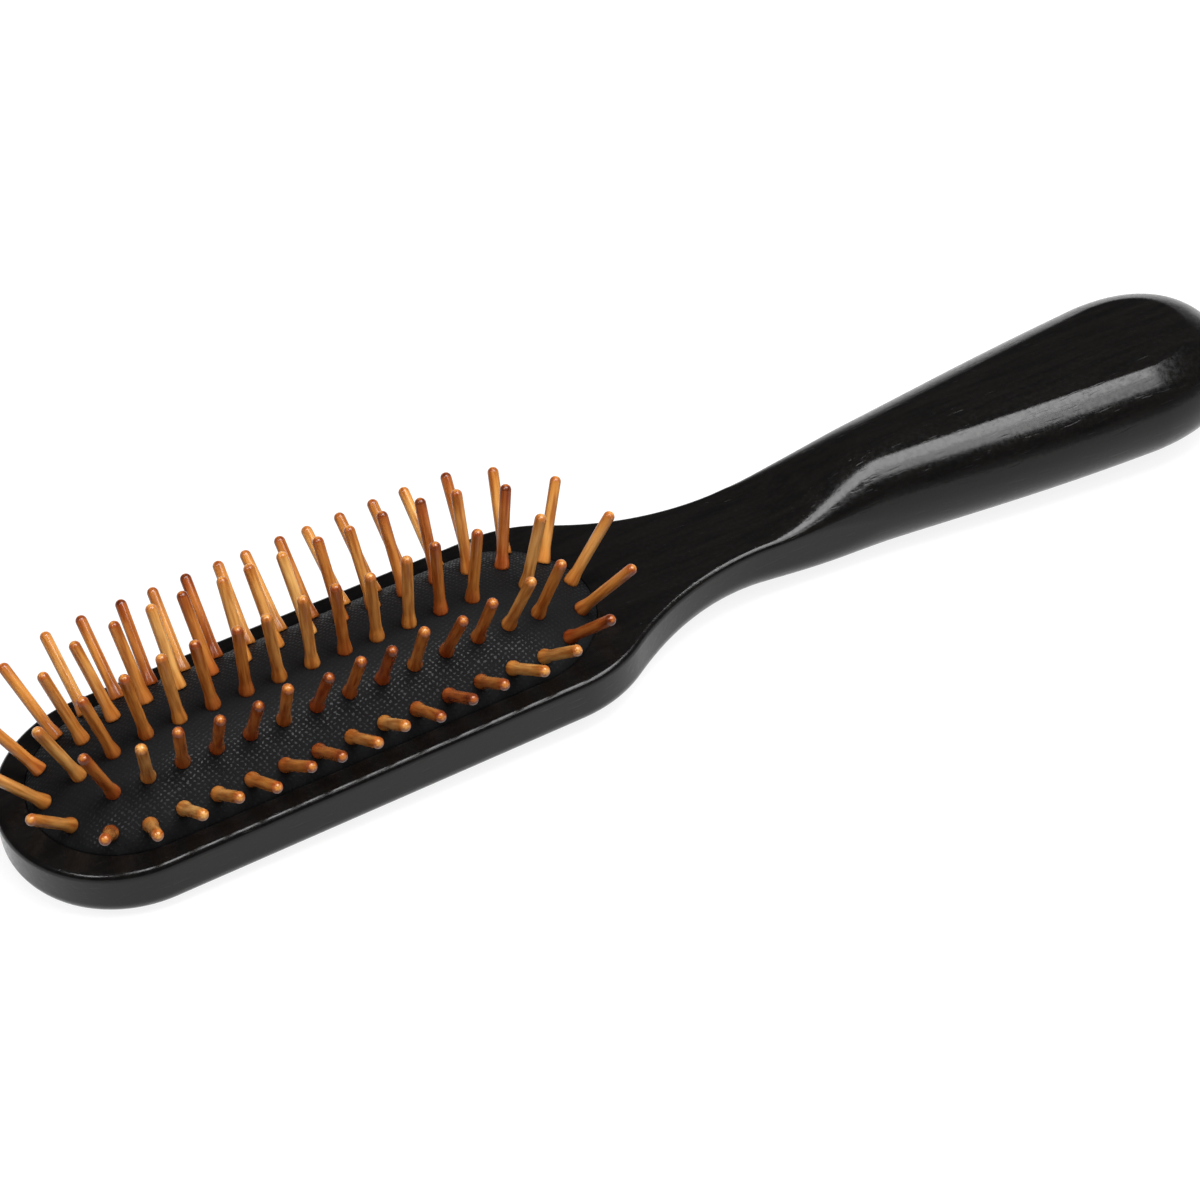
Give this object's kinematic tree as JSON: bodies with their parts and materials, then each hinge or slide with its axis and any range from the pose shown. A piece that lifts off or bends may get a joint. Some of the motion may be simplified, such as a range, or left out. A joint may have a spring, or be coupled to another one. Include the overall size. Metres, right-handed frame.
{
  "type": "pin brush",
  "caption": "Oblong hair brush: one-piece dark wooden head and handle, domed air cushion, and rows of slender round-tipped wooden pins fanning outwards.",
  "frame": {"origin": "on the flat back of the head, below the middle of the cushion and its pin field", "axes": "+X along the brush toward the handle's butt, +Y across the brush, +Z out of the cushion toward the pin tips; the brush lies on its back"},
  "size_m": [0.2467, 0.053, 0.0386],
  "materials": {
    "body_wood": "dark stained hardwood under satin lacquer",
    "cushion_fabric": "matt rubber with a fine woven fabric face",
    "pin_wood": "amber lacquered hardwood, slightly glossy"
  },
  "bodies": {
    "root": {"body": "body_wood", "cushion": "cushion_fabric", "outer_pins_1": "pin_wood", "outer_pins_2": "pin_wood", "outer_pins_3": "pin_wood", "outer_pins_4": "pin_wood", "outer_pins_5": "pin_wood", "outer_pins_6": "pin_wood", "outer_pins_7": "pin_wood", "outer_pins_8": "pin_wood", "outer_pins_9": "pin_wood", "outer_pins_10": "pin_wood", "outer_pins_11": "pin_wood", "outer_pins_12": "pin_wood", "outer_pins_13": "pin_wood", "outer_pins_14": "pin_wood", "outer_pins_15": "pin_wood", "outer_pins_16": "pin_wood", "outer_pins_17": "pin_wood", "inner_pins_1": "pin_wood", "inner_pins_2": "pin_wood", "inner_pins_3": "pin_wood", "inner_pins_4": "pin_wood", "inner_pins_5": "pin_wood", "inner_pins_6": "pin_wood", "inner_pins_7": "pin_wood", "inner_pins_8": "pin_wood", "inner_pins_9": "pin_wood", "inner_pins_10": "pin_wood", "inner_pins_11": "pin_wood", "inner_pins_12": "pin_wood", "inner_pins_13": "pin_wood", "inner_pins_14": "pin_wood", "centre_pin_1": "pin_wood", "centre_pin_2": "pin_wood", "centre_pin_3": "pin_wood", "centre_pin_4": "pin_wood", "centre_pin_5": "pin_wood", "centre_pin_6": "pin_wood", "centre_pin_7": "pin_wood", "centre_pin_8": "pin_wood", "centre_pin_9": "pin_wood", "centre_pin_10": "pin_wood", "centre_pin_11": "pin_wood", "centre_pin_12": "pin_wood", "centre_pin_13": "pin_wood", "centre_pin_14": "pin_wood", "centre_pin_15": "pin_wood", "centre_pin_16": "pin_wood"}
  },
  "joints": []
}
